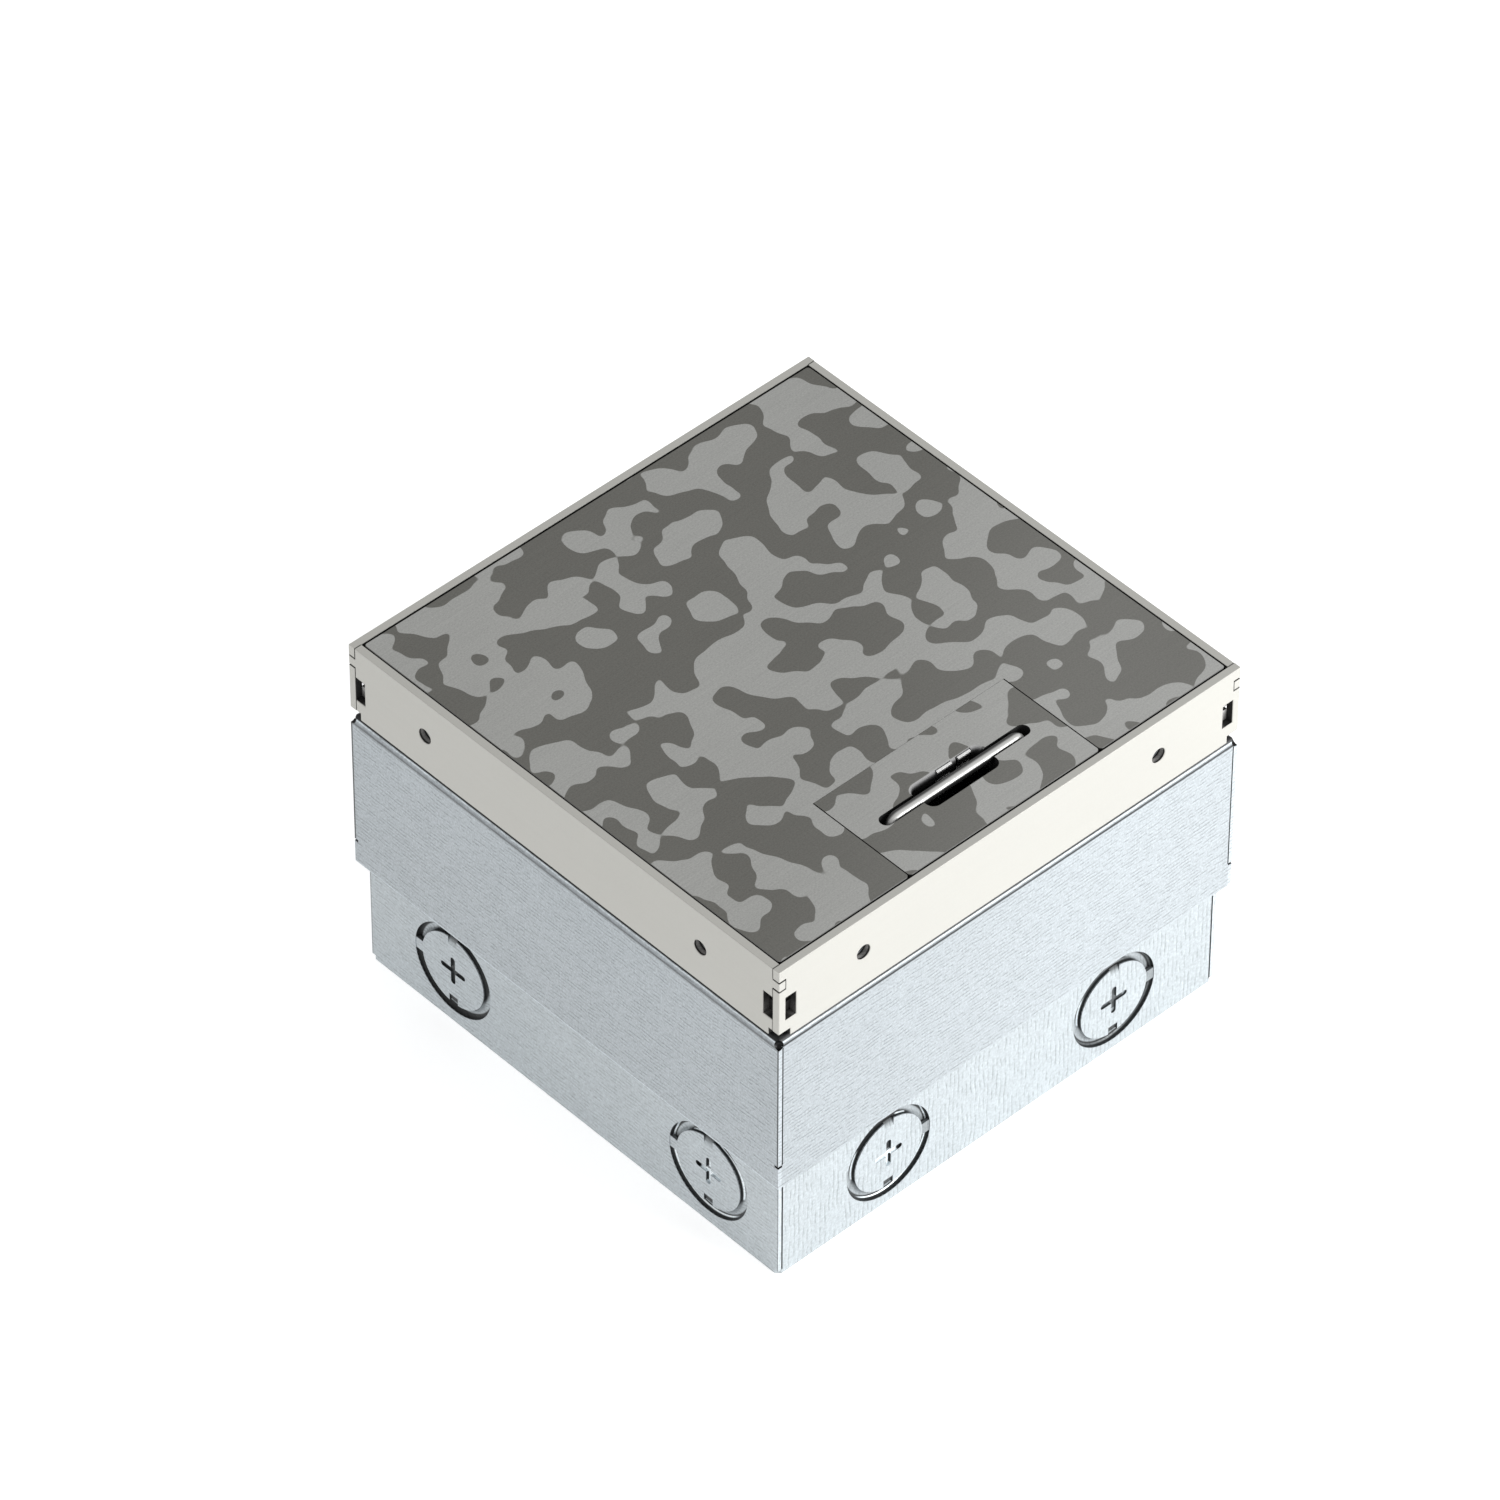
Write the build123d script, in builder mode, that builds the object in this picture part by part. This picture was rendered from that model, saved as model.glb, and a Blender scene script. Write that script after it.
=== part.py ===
"""Square floor socket box: lower galvanised box, height-adjustable upper sleeve,
flush trim frame, hinged lid with a cord outlet flap and a pull-up bar handle,
and a carrier with two earthed sockets inside.

Frame: +Z up, origin at the middle of the underside.  -Y is the front (flap side),
+Y is the rear (lid pivot side).  Millimetres.
"""
from build123d import *
import os

os.makedirs("parts", exist_ok=True)

# ------------------------------------------------------------------ driving sizes
HALF = 71.0            # outer half width of the trim frame and the sleeve
TOP = 100.0            # finished floor level at the lowest setting
TRIM_T = 2.0           # trim plate thickness
TRIM_IN = HALF - TRIM_T
TRIM_BOT = 78.6        # lower edge of the trim
TRIM_REL = 80.7        # lower edge inside the corner relief
TAB_LO, TAB_HI = 93.85, 97.0      # finger joint tab
JOINT_GAP = 0.34                  # clearance over and under a tab
SIDE_END = 68.86                  # half length of the side plates, without the tabs
SLOT_C, SLOT_W = 67.4, 3.2        # corner slots, distance from centre and width
SLOT_LO, SLOT_HI = 84.0, 91.1
PIN_X, PIN_Z, PIN_R = 45.5, 89.2, 2.0   # round fixing holes in the trim faces

SHEET = 1.0            # galvanised sheet
SLEEVE_BOT, SLEEVE_TOP = 31.4, 78.5
SLEEVE_LIP_R = 2.5     # outside bend of the sleeve's top flange
FLANGE_IN = 58.0       # half opening of the flange

BASE_HALF = 68.74      # lower box outer half width
BASE_TOP = 77.2
BASE_IN = BASE_HALF - SHEET

KO_R_MID = 11.7        # knockout groove centre radius
KO_R_GROOVE = 1.25     # groove section radius
KO_PLUS_L, KO_PLUS_W = 8.3, 1.5
KO_X_LEFT = (-45.7, 40.4)     # along Y on the side faces
KO_Z_LEFT = 16.4
KO_X_FRONT = (-34.7, 36.3)    # along X on the front and rear faces
KO_Z_FRONT = 15.7

LID_T = 3.0
LID_BOT = TOP - LID_T
LID_X = 68.6
LID_Y_REAR = 68.45
LID_Y_FRONT = -68.45
LID_PIVOT_Y, LID_PIVOT_Z, LID_PIN_R = 63.45, 98.5, 1.0

FLAP_X = 29.15
FLAP_SIDE_GAP = 0.3
FLAP_REAR = -37.45
FLAP_REAR_GAP = 0.05
FLAP_PIVOT_Y, FLAP_PIVOT_Z, FLAP_PIN_R = -46.45, 98.6, 0.8
FLAP_SWEEP = ((FLAP_REAR - FLAP_PIVOT_Y) ** 2 + (TOP - FLAP_PIVOT_Z) ** 2) ** 0.5    # path of its rear top edge
PLATE_EDGE = 0.13      # broken outer edges of the lid and the flap

BAR_Y, BAR_Z, BAR_R = -52.22, 99.1, 1.4
BAR_HALF = 20.1        # leg centre
BAR_LEG_BOT = 82.0
BAR_SLOT_L, BAR_SLOT_W = 45.4, 3.6
RECESS_X, RECESS_Y, RECESS_L, RECESS_W, RECESS_R = -0.3, -52.65, 21.6, 8.4, 2.3

TONGUES = ((-2.15, 2.35), (4.35, 8.15))     # spring tongues, along X
TONGUE_R = 0.45
BACK_T = 2.2           # plate under the flap
LEVEL_XY = 61.5        # levelling screws
SOCK_X = 22.6          # socket centres
SOCK_Y = 14.0
CARRIER_Z = 60.0       # underside of the carrier's pan


def write(part, name):
    part.label = name
    export_step(part, f"parts/{name}.step")


corners = [(sx * LEVEL_XY, sy * LEVEL_XY) for sx in (-1, 1) for sy in (-1, 1)]

# ================================================================== LOWER BOX
# Folded box with a floor.  Each wall has two double knockouts: a pressed ring
# groove round a disc, a bridge across it, two ramped pry notches and a
# plus-shaped dent for the tool that knocks it out.
side_planes = [
    (Plane(origin=(-BASE_HALF, 0, 0), x_dir=(0, 1, 0), z_dir=(-1, 0, 0)), [(c, KO_Z_LEFT) for c in KO_X_LEFT]),
    (Plane(origin=(BASE_HALF, 0, 0), x_dir=(0, 1, 0), z_dir=(1, 0, 0)), [(c, KO_Z_LEFT) for c in KO_X_LEFT]),
    (Plane(origin=(0, -BASE_HALF, 0), x_dir=(1, 0, 0), z_dir=(0, -1, 0)), [(c, KO_Z_FRONT) for c in KO_X_FRONT]),
    (Plane(origin=(0, BASE_HALF, 0), x_dir=(1, 0, 0), z_dir=(0, 1, 0)), [(c, KO_Z_FRONT) for c in KO_X_FRONT]),
]


def on_face(plane, u, v):
    """Placement on a wall whose local x runs along the wall and whose v is the height."""
    return Plane(origin=plane.origin + plane.x_dir * u + Vector(0, 0, v), x_dir=plane.x_dir, z_dir=plane.z_dir)


with BuildPart() as base_box:
    with BuildSketch(Plane.XY):
        Rectangle(2 * BASE_HALF, 2 * BASE_HALF)
    extrude(amount=BASE_TOP)
    with BuildSketch(Plane.XY.offset(SHEET)):
        Rectangle(2 * BASE_IN, 2 * BASE_IN)
    extrude(amount=BASE_TOP, mode=Mode.SUBTRACT)
    # small clipped corners at the foot of each folded edge
    for sx in (-1, 1):
        for sy in (-1, 1):
            with BuildSketch(Plane.XY):
                with Locations((sx * BASE_HALF, sy * BASE_HALF)):
                    Rectangle(1.6, 1.6, rotation=45)
            extrude(amount=1.3, mode=Mode.SUBTRACT)
    # butt seam of the folded corner, seen on the front and rear faces
    with BuildSketch(Plane.XY.offset(SHEET + 0.3)):
        with Locations(*[(sx * (BASE_HALF - 1.2), sy * BASE_HALF) for sx in (-1, 1) for sy in (-1, 1)]):
            Rectangle(0.28, 0.9)
    extrude(amount=BASE_TOP, mode=Mode.SUBTRACT)
    # knockouts
    for plane, centres in side_planes:
        for u, v in centres:
            with Locations(on_face(plane, u, v).offset(-0.15)):
                Torus(KO_R_MID, KO_R_GROOVE + 0.75)
            # the outer half of the bead is trimmed back to the face
            with BuildSketch(on_face(plane, u, v)):
                Circle(KO_R_MID + KO_R_GROOVE + 1.6)
            extrude(amount=3.0, mode=Mode.SUBTRACT)
            with Locations(on_face(plane, u, v).offset(-0.15)):
                Torus(KO_R_MID, KO_R_GROOVE, mode=Mode.SUBTRACT)
            # bridge on one side of the ring, a little under the face
            with BuildSketch(on_face(plane, u, v).offset(-0.18)):
                with Locations((KO_R_MID, 0)):
                    Rectangle(2 * KO_R_GROOVE + 0.9, 3.3)
            extrude(amount=-0.75)
            # ramped pry notches at twelve and six o'clock
            for s in (-1, 1):
                with BuildSketch(Plane(origin=on_face(plane, u, v).origin - plane.x_dir * 1.45,
                                       x_dir=plane.z_dir, z_dir=plane.x_dir)) as ramp:
                    # local x = outwards through the wall, local y = +-height
                    sgn = s * (1 if ramp.workplanes[0].y_dir.Z > 0 else -1)
                    with BuildLine():
                        Polyline((0.3, sgn * 8.2), (0.3, sgn * 10.9), (-0.85, sgn * 10.9), (0.0, sgn * 8.2), (0.3, sgn * 8.2))
                    make_face()
                extrude(amount=2.9, mode=Mode.SUBTRACT)
            # plus-shaped dent, pressed in but not through
            with BuildSketch(on_face(plane, u, v)):
                SlotOverall(KO_PLUS_L, KO_PLUS_W)
                SlotOverall(KO_PLUS_L, KO_PLUS_W, rotation=90)
            extrude(amount=-0.62, mode=Mode.SUBTRACT)
    # four holes in the floor for fixing to the slab
    with Locations((0, 0, 0)):
        with GridLocations(100, 100, 2, 2):
            Hole(radius=3.0, depth=10)
write(base_box.part, "base_box")

# corner shelves welded into the lower box, carrying the levelling nuts
SHELF_Z = 44.0
with BuildPart() as levelling_shelves:
    for sx, sy in [(-1, -1), (-1, 1), (1, -1), (1, 1)]:
        cx, cy = sx * (BASE_IN - 6.0), sy * (BASE_IN - 6.0)
        with BuildSketch(Plane.XY.offset(SHELF_Z)):
            with Locations((cx, cy)):
                Rectangle(12.0, 12.0)
        extrude(amount=2.0)
        with BuildSketch(Plane.XY.offset(SHELF_Z - 8.0)):
            with Locations((sx * (BASE_IN - 0.75), cy)):
                Rectangle(1.5, 12.0)
        extrude(amount=8.0)
    with BuildSketch(Plane.XY.offset(SHELF_Z - 1)):
        with Locations(*corners):
            Circle(2.7)
    extrude(amount=4.0, mode=Mode.SUBTRACT)
write(levelling_shelves.part, "levelling_shelves")

with BuildPart() as levelling_nuts:
    with BuildSketch(Plane.XY.offset(SHELF_Z - 4.0)):
        with Locations(*corners):
            RegularPolygon(radius=4.0, side_count=6, major_radius=False)
            Circle(2.58, mode=Mode.SUBTRACT)
    extrude(amount=4.0)
write(levelling_nuts.part, "levelling_nuts")

EARTH = (-56.0, 18.0)
with BuildPart() as earth_stud:
    with BuildSketch(Plane.XY.offset(SHEET)):
        with Locations(EARTH):
            Circle(4.0)
    extrude(amount=0.8)
    with BuildSketch(Plane.XY.offset(SHEET)):
        with Locations(EARTH):
            Circle(3.0)
    extrude(amount=16.0)
    chamfer(earth_stud.edges().group_by(Axis.Z)[-1], 0.5)
write(earth_stud.part, "earth_stud")

with BuildPart() as earth_washer:
    with BuildSketch(Plane.XY.offset(SHEET + 0.8)):
        with Locations(EARTH):
            Circle(5.8)
            Circle(3.1, mode=Mode.SUBTRACT)
    extrude(amount=1.2)
write(earth_washer.part, "earth_washer")

with BuildPart() as earth_nut:
    with BuildSketch(Plane.XY.offset(SHEET + 2.0)):
        with Locations(EARTH):
            RegularPolygon(radius=5.0, side_count=6, major_radius=False)
            Circle(3.0, mode=Mode.SUBTRACT)
    extrude(amount=5.0)
write(earth_nut.part, "earth_nut")

# ================================================================== UPPER SLEEVE
with BuildPart() as upper_sleeve:
    with BuildSketch(Plane.XY.offset(SLEEVE_BOT)):
        Rectangle(2 * HALF, 2 * HALF)
    extrude(amount=SLEEVE_TOP - SLEEVE_BOT)
    fillet(upper_sleeve.edges().filter_by(GeomType.LINE).group_by(Axis.Z)[-1], SLEEVE_LIP_R)
    with BuildPart(mode=Mode.PRIVATE) as sleeve_void:
        with BuildSketch(Plane.XY.offset(SLEEVE_BOT - 1)):
            Rectangle(2 * (HALF - SHEET), 2 * (HALF - SHEET))
        extrude(amount=SLEEVE_TOP - SHEET - SLEEVE_BOT + 1)
        fillet(sleeve_void.edges().group_by(Axis.Z)[-1], SLEEVE_LIP_R - SHEET)
    add(sleeve_void.part, mode=Mode.SUBTRACT)
    with BuildSketch(Plane.XY.offset(SLEEVE_TOP - 3)):
        Rectangle(2 * FLANGE_IN, 2 * FLANGE_IN)
    extrude(amount=5.0, mode=Mode.SUBTRACT)
    # flange holes for the levelling screws and the carrier screws
    with BuildSketch(Plane.XY.offset(SLEEVE_TOP - 2)):
        with Locations(*corners):
            Circle(2.7)
        with Locations(*[(sx * 61.5, y) for sx in (-1, 1) for y in (0.0, 28.0)]):
            Circle(1.8)
    extrude(amount=4.0, mode=Mode.SUBTRACT)
    for sx in (-1, 1):
        for sy in (-1, 1):
            # corner relief hole where the flange bends meet
            with Locations((sx * (HALF - 0.25), sy * (HALF - 0.25), SLEEVE_TOP - 1.55)):
                Sphere(1.25, mode=Mode.SUBTRACT)
            # butt seam of the folded corner with its small notch
            with BuildSketch(Plane.XY.offset(38.5)):
                with Locations((sx * (HALF - 1.27), sy * HALF)):
                    Rectangle(0.2, 0.9)
            extrude(amount=38.0, mode=Mode.SUBTRACT)
            with Locations((sx * HALF, sy * HALF, 38.3)):
                Box(2.2, 2.2, 0.6, mode=Mode.SUBTRACT)
write(upper_sleeve.part, "upper_sleeve")

# ================================================================== TRIM FRAME
# Front and rear plates run the full width; the side plates stand between them
# and show one finger joint tab at each end.
with BuildSketch(Plane.XY) as long_profile:
    with BuildLine():
        Polyline((-HALF, TRIM_REL), (-67.5, TRIM_REL), (-67.5, TRIM_BOT), (67.5, TRIM_BOT), (67.5, TRIM_REL),
                 (HALF, TRIM_REL), (HALF, TAB_LO), (TRIM_IN, TAB_LO), (TRIM_IN, TAB_HI), (HALF, TAB_HI),
                 (HALF, TOP), (-HALF, TOP), (-HALF, TAB_HI), (-TRIM_IN, TAB_HI), (-TRIM_IN, TAB_LO),
                 (-HALF, TAB_LO), (-HALF, TRIM_REL))
    make_face()
    with Locations((-PIN_X, PIN_Z), (PIN_X, PIN_Z)):
        Circle(PIN_R, mode=Mode.SUBTRACT)
    with Locations((-SLOT_C, (SLOT_LO + SLOT_HI) / 2), (SLOT_C, (SLOT_LO + SLOT_HI) / 2)):
        Rectangle(SLOT_W, SLOT_HI - SLOT_LO, mode=Mode.SUBTRACT)

with BuildSketch(Plane.XY) as short_profile:
    with BuildLine():
        Polyline((-SIDE_END, TRIM_REL), (-67.5, TRIM_REL), (-67.5, TRIM_BOT), (67.5, TRIM_BOT), (67.5, TRIM_REL),
                 (SIDE_END, TRIM_REL), (SIDE_END, TAB_LO + JOINT_GAP), (HALF, TAB_LO + JOINT_GAP), (HALF, TAB_HI - JOINT_GAP),
                 (SIDE_END, TAB_HI - JOINT_GAP), (SIDE_END, TOP), (-SIDE_END, TOP), (-SIDE_END, TAB_HI - JOINT_GAP),
                 (-HALF, TAB_HI - JOINT_GAP), (-HALF, TAB_LO + JOINT_GAP), (-SIDE_END, TAB_LO + JOINT_GAP), (-SIDE_END, TRIM_REL))
    make_face()
    with Locations((-PIN_X, PIN_Z), (PIN_X, PIN_Z)):
        Circle(PIN_R, mode=Mode.SUBTRACT)
    # the corner slots are open at the plate's ends
    with Locations((-SLOT_C - 0.5, (SLOT_LO + SLOT_HI) / 2), (SLOT_C + 0.5, (SLOT_LO + SLOT_HI) / 2)):
        Rectangle(SLOT_W + 1.0, SLOT_HI - SLOT_LO, mode=Mode.SUBTRACT)

EDGE = 0.12            # broken edges of the cut plates
front_plane = Plane(origin=(0, -TRIM_IN, 0), x_dir=(1, 0, 0), z_dir=(0, -1, 0))
rear_plane = Plane(origin=(0, HALF, 0), x_dir=(1, 0, 0), z_dir=(0, -1, 0))
left_plane = Plane(origin=(-HALF, 0, 0), x_dir=(0, 1, 0), z_dir=(1, 0, 0))
right_plane = Plane(origin=(TRIM_IN, 0, 0), x_dir=(0, 1, 0), z_dir=(1, 0, 0))


def outline(part, normal_axis, at):
    """Edges of one big face of a plate: those lying on the given coordinate."""
    return part.edges().filter_by_position(normal_axis, at - 1e-3, at + 1e-3)


with BuildPart() as trim_front:
    with BuildSketch(front_plane):
        add(long_profile.sketch)
    extrude(amount=TRIM_T)
    chamfer(outline(trim_front, Axis.Y, -HALF), EDGE)
write(trim_front.part, "trim_front")

with BuildPart() as trim_rear:
    with BuildSketch(rear_plane):
        add(long_profile.sketch)
    extrude(amount=TRIM_T)
    chamfer(outline(trim_rear, Axis.Y, HALF), EDGE)
write(trim_rear.part, "trim_rear")

with BuildPart() as trim_left:
    with BuildSketch(left_plane):
        add(short_profile.sketch)
    extrude(amount=TRIM_T)
    chamfer(outline(trim_left, Axis.X, -HALF), EDGE)
    # blind seat of the lid's pivot pin
    with Locations(Plane(origin=(-TRIM_IN - 0.75, LID_PIVOT_Y, LID_PIVOT_Z), z_dir=(1, 0, 0))):
        Cylinder(LID_PIN_R, 1.5, mode=Mode.SUBTRACT)
write(trim_left.part, "trim_left")

with BuildPart() as trim_right:
    with BuildSketch(right_plane):
        add(short_profile.sketch)
    extrude(amount=TRIM_T)
    chamfer(outline(trim_right, Axis.X, HALF), EDGE)
    with Locations(Plane(origin=(TRIM_IN + 0.75, LID_PIVOT_Y, LID_PIVOT_Z), z_dir=(1, 0, 0))):
        Cylinder(LID_PIN_R, 1.5, mode=Mode.SUBTRACT)
write(trim_right.part, "trim_right")

# angle brackets in the four corners, tying the trim to the sleeve's flange
with BuildPart() as corner_brackets:
    for sx in (-1, 1):
        for sy in (-1, 1):
            with BuildSketch(Plane.XY.offset(SLEEVE_TOP)):
                with Locations((sx * 63.0, sy * 63.0)):
                    Rectangle(12.0, 12.0)
            extrude(amount=1.5)
            with BuildSketch(Plane.XY.offset(SLEEVE_TOP)):
                with Locations((sx * (TRIM_IN - 0.7), sy * 63.0)):
                    Rectangle(1.4, 12.0)
                with Locations((sx * 63.0, sy * (TRIM_IN - 0.7))):
                    Rectangle(12.0, 1.4)
            extrude(amount=13.5)
    # shallow groove at mid height of every leg, seen through the trim's corner slots
    for sx in (-1, 1):
        for sy in (-1, 1):
            with Locations((sx * TRIM_IN, sy * 67.0, 87.6)):
                Box(0.7, 5.0, 0.9, mode=Mode.SUBTRACT)
            with Locations((sx * 67.0, sy * TRIM_IN, 87.6)):
                Box(5.0, 0.7, 0.9, mode=Mode.SUBTRACT)
    with BuildSketch(Plane.XY.offset(SLEEVE_TOP - 1)):
        with Locations(*corners):
            Circle(2.7)
    extrude(amount=4.0, mode=Mode.SUBTRACT)
write(corner_brackets.part, "corner_brackets")

# rest rails: angle sections behind the trim that carry the lid
RAIL_T = 1.4
LEDGE_IN = 65.2
LEDGE_TOP = 96.0
with BuildPart() as rest_rail_left:
    with BuildSketch(Plane.XY.offset(80.0)):
        with Locations((-(TRIM_IN - RAIL_T / 2), -1.5)):
            Rectangle(RAIL_T, 111.0)
    extrude(amount=LEDGE_TOP - 80.0)
    with BuildSketch(Plane.XY.offset(LEDGE_TOP - 1.5)):
        with Locations((-(TRIM_IN + LEDGE_IN) / 2, -4.6)):
            Rectangle(TRIM_IN - LEDGE_IN, 121.2 - 4.0)
    extrude(amount=1.5)
    with Locations(*[Plane(origin=(-(TRIM_IN - RAIL_T / 2), y, PIN_Z - 0.25), z_dir=(1, 0, 0)) for y in (-PIN_X + 0.4, PIN_X + 0.4)]):
        Cylinder(1.45, 4.0, mode=Mode.SUBTRACT)
write(rest_rail_left.part, "rest_rail_left")

with BuildPart() as rest_rail_right:
    with BuildSketch(Plane.XY.offset(80.0)):
        with Locations((TRIM_IN - RAIL_T / 2, -1.5)):
            Rectangle(RAIL_T, 111.0)
    extrude(amount=LEDGE_TOP - 80.0)
    with BuildSketch(Plane.XY.offset(LEDGE_TOP - 1.5)):
        with Locations(((TRIM_IN + LEDGE_IN) / 2, -4.6)):
            Rectangle(TRIM_IN - LEDGE_IN, 121.2 - 4.0)
    extrude(amount=1.5)
    with Locations(*[Plane(origin=(TRIM_IN - RAIL_T / 2, y, PIN_Z - 0.25), z_dir=(1, 0, 0)) for y in (-PIN_X + 0.4, PIN_X + 0.4)]):
        Cylinder(1.45, 4.0, mode=Mode.SUBTRACT)
write(rest_rail_right.part, "rest_rail_right")

with BuildPart() as rest_rail_front:
    with BuildSketch(Plane.XY.offset(80.0)):
        with Locations((0, -(TRIM_IN - RAIL_T / 2))):
            Rectangle(113.6, RAIL_T)
    extrude(amount=LEDGE_TOP - 80.0)
    with BuildSketch(Plane.XY.offset(LEDGE_TOP - 1.5)):
        with Locations((0, -(TRIM_IN + LEDGE_IN) / 2)):
            Rectangle(2 * TRIM_IN, TRIM_IN - LEDGE_IN)
    extrude(amount=1.5)
    with Locations(*[Plane(origin=(x, -(TRIM_IN - RAIL_T / 2), PIN_Z - 0.25), z_dir=(0, 1, 0)) for x in (-PIN_X + 0.4, PIN_X + 0.4)]):
        Cylinder(1.45, 4.0, mode=Mode.SUBTRACT)
write(rest_rail_front.part, "rest_rail_front")

with BuildPart() as rear_rail:
    with BuildSketch(Plane.XY.offset(80.0)):
        with Locations((0, TRIM_IN - RAIL_T / 2)):
            Rectangle(113.6, RAIL_T)
    extrude(amount=12.0)
    with BuildSketch(Plane.XY.offset(80.0)):
        with Locations((0, TRIM_IN - 3.0)):
            Rectangle(113.6, 6.0)
    extrude(amount=1.4)
    with Locations(*[Plane(origin=(x, TRIM_IN - RAIL_T / 2, PIN_Z - 0.25), z_dir=(0, 1, 0)) for x in (-PIN_X + 0.4, PIN_X + 0.4)]):
        Cylinder(1.45, 4.0, mode=Mode.SUBTRACT)
write(rear_rail.part, "rear_rail")

# rubber seal on three sides, between the ledge and the lid
with BuildPart() as lid_seal:
    with BuildSketch(Plane.XY.offset(LEDGE_TOP)):
        with BuildLine():
            Polyline((-68.5, 54.0), (-68.5, -68.5), (68.5, -68.5), (68.5, 54.0), (65.7, 54.0), (65.7, -65.7),
                     (-65.7, -65.7), (-65.7, 54.0), (-68.5, 54.0))
        make_face()
    extrude(amount=LID_BOT - LEDGE_TOP)
write(lid_seal.part, "lid_seal")

# lid pivot pins, pressed blind into the side plates
with BuildPart() as lid_pivot_pins:
    with Locations(Plane(origin=(-66.25, LID_PIVOT_Y, LID_PIVOT_Z), z_dir=(1, 0, 0)),
                   Plane(origin=(66.25, LID_PIVOT_Y, LID_PIVOT_Z), z_dir=(1, 0, 0))):
        Cylinder(LID_PIN_R, 8.5)
write(lid_pivot_pins.part, "lid_pivot_pins")

# levelling screws: captive in the sleeve's flange, threaded into the shelf nuts
with BuildPart() as levelling_screws:
    with BuildSketch(Plane.XY.offset(18.0)):
        with Locations(*corners):
            Circle(2.5)
    extrude(amount=64.0)
    chamfer(levelling_screws.edges().group_by(Axis.Z)[0], 0.6)
    with BuildSketch(Plane.XY.offset(80.0)):
        with Locations(*corners):
            Circle(4.4)
    extrude(amount=3.2)
    fillet(levelling_screws.edges().group_by(Axis.Z)[-1], 1.0)
    with BuildSketch(Plane.XY.offset(81.6)):
        with Locations(*corners):
            Rectangle(5.0, 1.1)
            Rectangle(1.1, 5.0)
    extrude(amount=3.0, mode=Mode.SUBTRACT)
write(levelling_screws.part, "levelling_screws")

with BuildPart() as screw_retainers:
    with BuildSketch(Plane.XY.offset(76.3)):
        with Locations(*corners):
            Circle(4.2)
            Circle(2.5, mode=Mode.SUBTRACT)
    extrude(amount=1.0)
write(screw_retainers.part, "screw_retainers")

# ================================================================== DEVICE CARRIER
CW = 56.3              # inner half width of the carrier
CY0, CY1 = -13.0, 41.0
with BuildPart() as device_carrier:
    with BuildSketch(Plane.XZ.offset(-CY1)):
        with BuildLine():
            Polyline((-65.3, 78.5), (-57.5, 78.5), (-57.5, CARRIER_Z), (57.5, CARRIER_Z), (57.5, 78.5), (65.3, 78.5),
                     (65.3, 79.7), (CW, 79.7), (CW, CARRIER_Z + 1.2), (-CW, CARRIER_Z + 1.2), (-CW, 79.7),
                     (-65.3, 79.7), (-65.3, 78.5))
        make_face()
    extrude(amount=CY1 - CY0)
    with BuildSketch(Plane.XY.offset(CARRIER_Z - 1)):
        with Locations((0, SOCK_Y)):
            Rectangle(89.0, 43.6)
    extrude(amount=4.0, mode=Mode.SUBTRACT)
    with BuildSketch(Plane.XY.offset(78.0)):
        with Locations(*[(sx * 61.5, y) for sx in (-1, 1) for y in (0.0, 28.0)]):
            Circle(1.8)
    extrude(amount=3.0, mode=Mode.SUBTRACT)
write(device_carrier.part, "device_carrier")

with BuildPart() as carrier_screws:
    spots = [(sx * 61.5, y) for sx in (-1, 1) for y in (0.0, 28.0)]
    with BuildSketch(Plane.XY.offset(75.6)):
        with Locations(*spots):
            Circle(1.75)
    extrude(amount=5.0)
    with BuildSketch(Plane.XY.offset(79.7)):
        with Locations(*spots):
            Circle(3.4)
    extrude(amount=2.2)
    fillet(carrier_screws.edges().group_by(Axis.Z)[-1], 0.8)
    with BuildSketch(Plane.XY.offset(80.8)):
        with Locations(*spots):
            Rectangle(3.8, 0.9)
            Rectangle(0.9, 3.8)
    extrude(amount=2.0, mode=Mode.SUBTRACT)
write(carrier_screws.part, "carrier_screws")

# ------------------------------------------------------------------ sockets
COVER_Z = CARRIER_Z + 1.2       # 61.2
COVER_T = 3.0
WELL_R, WELL_D = 19.3, 17.5
WELL_FLOOR = COVER_Z + COVER_T + 0.4 - WELL_D
PIN_PITCH = 19.0


def cover(cx):
    with BuildPart() as c:
        with BuildSketch(Plane.XY.offset(COVER_Z)):
            with Locations((cx, SOCK_Y)):
                RectangleRounded(44.8, 44.8, 1.6)
                Circle(20.45, mode=Mode.SUBTRACT)
        extrude(amount=COVER_T)
        fillet(c.edges().group_by(Axis.Z)[-1], 0.6)
    return c.part


def housing(cx):
    with BuildPart() as h:
        with BuildSketch(Plane.XY.offset(22.0)):
            with Locations((cx, SOCK_Y)):
                Rectangle(43.2, 43.2)
        extrude(amount=COVER_Z - 22.0)
        chamfer(h.edges().filter_by(Axis.Z), 2.0)
        with BuildSketch(Plane.XY.offset(WELL_FLOOR - 2.6)):
            with Locations((cx, SOCK_Y)):
                Circle(20.3)
        extrude(amount=30.0, mode=Mode.SUBTRACT)
        with BuildSketch(Plane.XY.offset(29.0)):
            with Locations((cx - PIN_PITCH / 2, SOCK_Y), (cx + PIN_PITCH / 2, SOCK_Y)):
                Circle(3.2)
        extrude(amount=30.0, mode=Mode.SUBTRACT)
        with BuildSketch(Plane.XY.offset(21.0)):
            with Locations((cx - 12, SOCK_Y - 14), (cx, SOCK_Y - 14), (cx + 12, SOCK_Y - 14)):
                Circle(2.6)
        extrude(amount=5.0, mode=Mode.SUBTRACT)
    return h.part


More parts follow.
